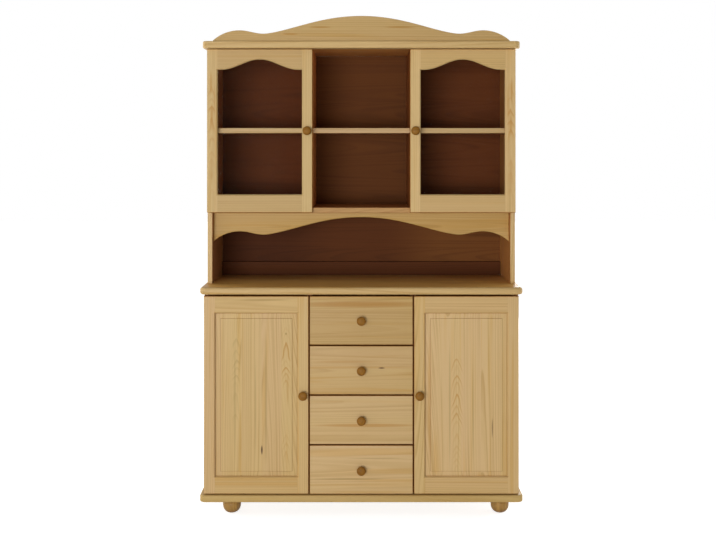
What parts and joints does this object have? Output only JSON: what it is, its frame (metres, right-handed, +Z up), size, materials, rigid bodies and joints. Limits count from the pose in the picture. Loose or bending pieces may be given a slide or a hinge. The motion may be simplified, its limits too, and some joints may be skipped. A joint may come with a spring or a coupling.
{
  "type": "sideboard",
  "caption": "Pine dresser: panelled doors and drawers below, worktop, open niche with a serpentine apron, glazed arched doors and a crest above.",
  "frame": {"origin": "on the floor, under the middle of the overall box", "axes": "+Z up, +Y towards the wall behind, -Y towards the user, +X to the right as seen from the front"},
  "size_m": [1.204, 0.422, 1.876],
  "materials": {
    "pine": "satin lacquer",
    "pine_inside": "planed, thin lacquer",
    "back_panel": "dark brown stain",
    "knob_wood": "turned, satin lacquer",
    "foot_wood": "turned, satin lacquer",
    "glass": "clear float glass",
    "hinge_steel": "nickel plated"
  },
  "bodies": {
    "case": {"base_side_left": "pine", "base_side_right": "pine", "base_partition_left": "pine_inside", "base_partition_right": "pine_inside", "base_board": "pine", "worktop": "pine", "base_back": "back_panel", "base_shelf_left": "pine_inside", "base_shelf_right": "pine_inside", "foot_front_left": "foot_wood", "foot_front_right": "foot_wood", "foot_rear_left": "foot_wood", "foot_rear_right": "foot_wood", "hutch_side_left": "pine", "hutch_side_right": "pine", "hutch_partition_left": "pine", "hutch_partition_right": "pine", "cornice": "pine", "pediment": "pine", "bay_floor": "pine", "hutch_shelf_left": "pine", "hutch_shelf_centre": "pine", "hutch_shelf_right": "pine", "hutch_back": "back_panel", "rear_rail": "back_panel", "apron": "pine", "base_hinge_left_lower": "hinge_steel", "base_hinge_left_upper": "hinge_steel", "base_hinge_right_lower": "hinge_steel", "base_hinge_right_upper": "hinge_steel", "hutch_hinge_left_lower": "hinge_steel", "hutch_hinge_left_upper": "hinge_steel", "hutch_hinge_right_lower": "hinge_steel", "hutch_hinge_right_upper": "hinge_steel"},
    "base_door_left": {"base_door_frame_left": "pine", "base_door_panel_left": "pine", "base_door_knob_left": "knob_wood"},
    "base_door_right": {"base_door_frame_right": "pine", "base_door_panel_right": "pine", "base_door_knob_right": "knob_wood"},
    "hutch_door_left": {"hutch_door_frame_left": "pine", "hutch_door_glass_left": "glass", "glazing_bead_left": "pine", "hutch_door_knob_left": "knob_wood"},
    "hutch_door_right": {"hutch_door_frame_right": "pine", "hutch_door_glass_right": "glass", "glazing_bead_right": "pine", "hutch_door_knob_right": "knob_wood"},
    "drawer_1": {"drawer_front_1": "pine", "drawer_box_1": "pine_inside", "drawer_knob_1": "knob_wood"},
    "drawer_2": {"drawer_front_2": "pine", "drawer_box_2": "pine_inside", "drawer_knob_2": "knob_wood"},
    "drawer_3": {"drawer_front_3": "pine", "drawer_box_3": "pine_inside", "drawer_knob_3": "knob_wood"},
    "drawer_4": {"drawer_front_4": "pine", "drawer_box_4": "pine_inside", "drawer_knob_4": "knob_wood"}
  },
  "joints": [
    {"name": "base_door_left_hinge", "type": "hinge", "parent": "case", "child": "base_door_left", "pos_m": [-0.5875, -0.1775, 0.45075], "axis": [0, 0, -1], "range_deg": [0, 110]},
    {"name": "base_door_right_hinge", "type": "hinge", "parent": "case", "child": "base_door_right", "pos_m": [0.5875, -0.1775, 0.45075], "axis": [0, 0, 1], "range_deg": [0, 110]},
    {"name": "hutch_door_left_hinge", "type": "hinge", "parent": "case", "child": "hutch_door_left", "pos_m": [-0.5875, -0.101, 1.4377], "axis": [0, 0, -1], "range_deg": [0, 110]},
    {"name": "hutch_door_right_hinge", "type": "hinge", "parent": "case", "child": "hutch_door_right", "pos_m": [0.5875, -0.101, 1.4377], "axis": [0, 0, 1], "range_deg": [0, 110]},
    {"name": "drawer_1_slide", "type": "slide", "parent": "case", "child": "drawer_1", "axis": [0, -1, 0], "range_m": [0, 0.24]},
    {"name": "drawer_2_slide", "type": "slide", "parent": "case", "child": "drawer_2", "axis": [0, -1, 0], "range_m": [0, 0.24]},
    {"name": "drawer_3_slide", "type": "slide", "parent": "case", "child": "drawer_3", "axis": [0, -1, 0], "range_m": [0, 0.24]},
    {"name": "drawer_4_slide", "type": "slide", "parent": "case", "child": "drawer_4", "axis": [0, -1, 0], "range_m": [0, 0.24]}
  ]
}
